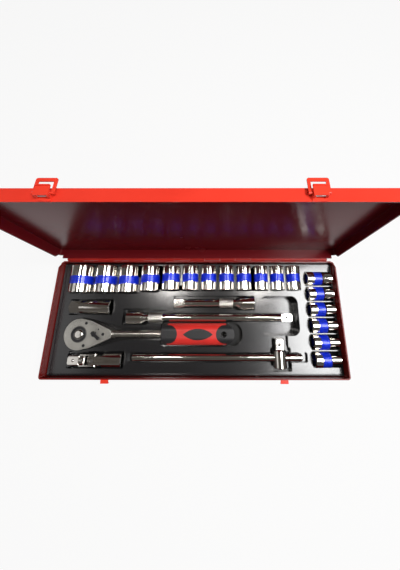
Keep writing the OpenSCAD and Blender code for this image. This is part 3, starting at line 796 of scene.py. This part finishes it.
@dataclass
class Ratchet:
    """Reversible ratchet: head, cover, drive, lever and grip."""

    satin: SatinSteel = SatinSteel("satin_chrome", (0.44, 0.43, 0.4), 0.3)
    black: SatinSteel = SatinSteel("blackened_steel", (0.035, 0.035, 0.038), 0.38, 0.85)
    gear: SatinSteel = SatinSteel("gear_steel", (0.16, 0.155, 0.15), 0.34)
    red: SoftGrip = SoftGrip("red_grip", (0.7, 0.03, 0.024))
    dark: SoftGrip = SoftGrip("black_grip", (0.018, 0.018, 0.02))
    polished: Chrome = Chrome("button_chrome", Axis.X)

    def build(self, steel: bpy.types.Material) -> None:
        """Finishes each piece of the ratchet.

        Args:
            steel: the finish of balls and springs.
        """
        satin, black, gear = self.satin.build(), self.black.build(), self.gear.build()
        for node, body, slot, edge, material in (
            ("ratchet_body", "ratchet", "chrome", 0.6, satin),
            ("ratchet_cover", "ratchet", "chrome", 0.2, satin),
            ("ratchet_gear", "drive_gear", "dark_steel", 0.15, gear),
            ("selector_lever", "selector", "dark_steel", 0.5, black),
            ("release_button", "button", "chrome", 0.5, self.polished.build()),
            ("grip_core", "ratchet", "grip_black", 0.7, self.dark.build()),
            ("grip_overmould", "ratchet", "grip_red", 0.5, self.red.build()),
        ):
            dress(finish_copy(node, f"finished_{node}", body, edge * MM, 3), material)
        for node in ("cover_screws", "gear_ring", "ratchet_pawl"):
            dress(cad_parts[node], black)
        for node in ("button_spring", "drive_ball"):
            dress(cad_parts[node], steel)


@dataclass
class LooseTools:
    """Extensions, universal joint, sliding T bar and spark plug socket."""

    extensions: tuple[Extension, ...] = (
        Extension("extension_short", "short_extension", End.RIGHT),
        Extension("extension_long", "long_extension", End.LEFT),
    )
    plated: tuple[tuple[str, str], ...] = (
        ("spark_plug_socket", "plug_socket"),
        ("ujoint_socket_yoke", "universal_joint"),
        ("ujoint_drive_yoke", "drive_yoke"),
        ("tbar_rod", "sliding_bar"),
        ("tbar_head", "t_head"),
    )
    edge: float = 0.3 * MM
    chrome: Chrome = Chrome("tool_chrome", Axis.X)
    dark: SatinSteel = SatinSteel("cross_steel", (0.14, 0.135, 0.13), 0.4)
    rubber: SoftGrip = SoftGrip("insert_rubber", (0.02, 0.02, 0.02))

    def build(self, steel: bpy.types.Material) -> None:
        """Finishes each tool.

        Args:
            steel: the finish of the balls.
        """
        for extension in self.extensions:
            extension.build(steel)
        plate = self.chrome.build()
        for node, body in self.plated:
            dress(finish_copy(node, f"plated_{node}", body, self.edge), plate)
        dress(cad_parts["ujoint_cross"], self.dark.build())
        dress(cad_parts["spark_plug_insert"], self.rubber.build())
        for node in ("ujoint_ball", "tbar_rod_balls", "tbar_head_ball"):
            dress(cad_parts[node], steel)


# Stage


@dataclass(frozen=True)
class Lamp:
    """One soft rectangular lamp aimed at the case."""

    name: str
    place: Point
    width: float
    depth: float
    watts: float
    colour: Colour = (1.0, 1.0, 1.0)
    target: Point = (0.0, 0.0, 0.03)

    def build(self) -> None:
        """Adds the lamp."""
        data = bpy.data.lights.new(self.name, "AREA")
        data.shape = "RECTANGLE"
        data.size, data.size_y = self.width, self.depth
        data.energy = self.watts
        data.color = self.colour
        lamp = bpy.data.objects.new(self.name, data)
        bpy.context.scene.collection.objects.link(lamp)
        lamp.location = self.place
        lamp.rotation_mode = "QUATERNION"
        aim = Vector(self.target) - Vector(self.place)
        lamp.rotation_quaternion = aim.to_track_quat("-Z", "Y")


@dataclass
class Stage:
    """Floor, sky, lamps and camera."""

    floor_size: float = 12.0
    floor_colour: float = 0.5
    # Strength of the floor's white, and its share against the lit and shaded floor
    floor_glow: float = 1.04
    floor_share: float = 0.86
    horizon: Colour = (0.15, 0.145, 0.14)
    zenith: Colour = (0.07, 0.06, 0.05)
    backdrop: Colour = (0.95, 0.95, 0.95)
    lamps: tuple[Lamp, ...] = (
        Lamp("overhead_left", (-0.3, 0.19, 1.3), 0.09, 0.16, 2.4, (1.0, 0.97, 0.93)),
        Lamp("overhead_right", (0.32, 0.18, 1.3), 0.09, 0.16, 2.2, (1.0, 0.97, 0.93)),
        Lamp("right_window", (0.58, -0.04, 1.1), 0.66, 0.34, 12.0),
        Lamp("left_panel", (-1.0, -0.1, 1.0), 0.6, 0.6, 0.9),
    )
    # The camera's place over the case in metres, and its angles in degrees
    eye: Point = (0.0337, 0.0071, 0.410)
    down: float = 74.15
    roll: float = -0.56
    yaw: float = 0.59
    # Focal length and optical centre in pixels, and the sensor's width in millimetres
    focal_px: float = 237.6
    centre_px: tuple[float, float] = (217.8, 244.3)
    sensor: float = 36.0
    near: float = 0.01

    def floor(self) -> None:
        """Adds the pale floor, white to the camera away from the object's shadow."""
        bpy.ops.object.select_all(action="DESELECT")
        bpy.ops.mesh.primitive_plane_add(size=self.floor_size, location=(0, 0, 0))
        piece = bpy.context.object
        piece.name = "floor"
        graph = Graph("pale_floor")
        shade = self.floor_colour
        graph.set(Base_Color=(shade, shade, shade), Roughness=0.9, Specular_IOR_Level=0.1)
        seen = graph.node("ShaderNodeLightPath").outputs
        glow = {"Color": (1.0, 1.0, 1.0, 1.0), "Strength": self.floor_glow}
        white = graph.node("ShaderNodeEmission", {}, glow)
        rays = ("Camera", "Glossy", "Transmission")
        camera, glossy, through = (Value(graph, seen[f"Is {kind} Ray"]) for kind in rays)
        share = (camera + glossy + through) * self.floor_share
        layers = {0: share, 1: graph.shader.outputs[0], 2: white.outputs[0]}
        mix = graph.node("ShaderNodeMixShader", {}, layers)
        output = next(n for n in graph.tree.nodes if n.type == "OUTPUT_MATERIAL")
        graph.feed(output.inputs[0], mix.outputs[0])
        dress(piece, graph.material)
        piece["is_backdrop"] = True

    def light(self) -> None:
        """Adds the sky, dimmer overhead and white to the camera, and the lamps."""
        world = bpy.data.worlds.new("studio")
        bpy.context.scene.world = world
        world.use_nodes = True
        nodes, links = world.node_tree.nodes, world.node_tree.links
        background = next(n for n in nodes if n.type == "BACKGROUND")
        place = nodes.new("ShaderNodeTexCoord")
        split = nodes.new("ShaderNodeSeparateXYZ")
        links.new(place.outputs["Generated"], split.inputs[0])
        ramp = nodes.new("ShaderNodeValToRGB")
        for stop, colour in zip(ramp.color_ramp.elements, (self.horizon, self.zenith)):
            stop.color = (*colour, 1.0)
        links.new(split.outputs[2], ramp.inputs[0])
        links.new(ramp.outputs[0], background.inputs[0])
        output = next(n for n in nodes if n.type == "OUTPUT_WORLD")
        white = nodes.new("ShaderNodeBackground")
        white.inputs[0].default_value = (*self.backdrop, 1.0)
        path = nodes.new("ShaderNodeLightPath")
        mix = nodes.new("ShaderNodeMixShader")
        links.new(path.outputs["Is Camera Ray"], mix.inputs[0])
        links.new(background.outputs[0], mix.inputs[1])
        links.new(white.outputs[0], mix.inputs[2])
        links.new(mix.outputs[0], output.inputs[0])
        for lamp in self.lamps:
            lamp.build()

    def camera(self) -> None:
        """Adds the camera above the case."""
        down, yaw, roll = (math.radians(v) for v in (self.down, self.yaw, self.roll))
        level = math.cos(down)
        ahead = Vector((-math.sin(yaw) * level, math.cos(yaw) * level, -math.sin(down)))
        right = Vector((math.cos(yaw), math.sin(yaw), 0.0))
        up = right.cross(ahead)
        turned = right * math.cos(roll) + up * math.sin(roll)
        upright = up * math.cos(roll) - right * math.sin(roll)
        data = bpy.data.cameras.new("camera")
        data.sensor_width = self.sensor
        data.lens = self.focal_px * self.sensor / IMAGE_H
        data.shift_x = (IMAGE_W / 2 - self.centre_px[0]) / IMAGE_H
        data.shift_y = (self.centre_px[1] - IMAGE_H / 2) / IMAGE_H
        data.clip_start = self.near
        camera = bpy.data.objects.new("camera", data)
        bpy.context.scene.collection.objects.link(camera)
        turn = Matrix((turned, upright, -ahead)).transposed().to_4x4()
        camera.matrix_world = Matrix.Translation(Vector(self.eye)) @ turn
        bpy.context.scene.camera = camera

    def build(self) -> None:
        """Builds the stage."""
        self.floor()
        self.light()
        self.camera()
        bpy.context.scene.view_settings.view_transform = "Standard"


def main() -> None:
    """Builds every sub-assembly in order and reports it."""
    logging.basicConfig(level=logging.INFO)
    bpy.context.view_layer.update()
    Stage().build()
    Case().build()
    Tray().build()
    SocketRows().build()
    steel = SatinSteel("ball_steel", (0.62, 0.61, 0.6), 0.22).build()
    Ratchet().build(steel)
    LooseTools().build(steel)
    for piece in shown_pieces():
        LOG.info("piece %s", piece.name)


if __name__ == "__main__":
    main()
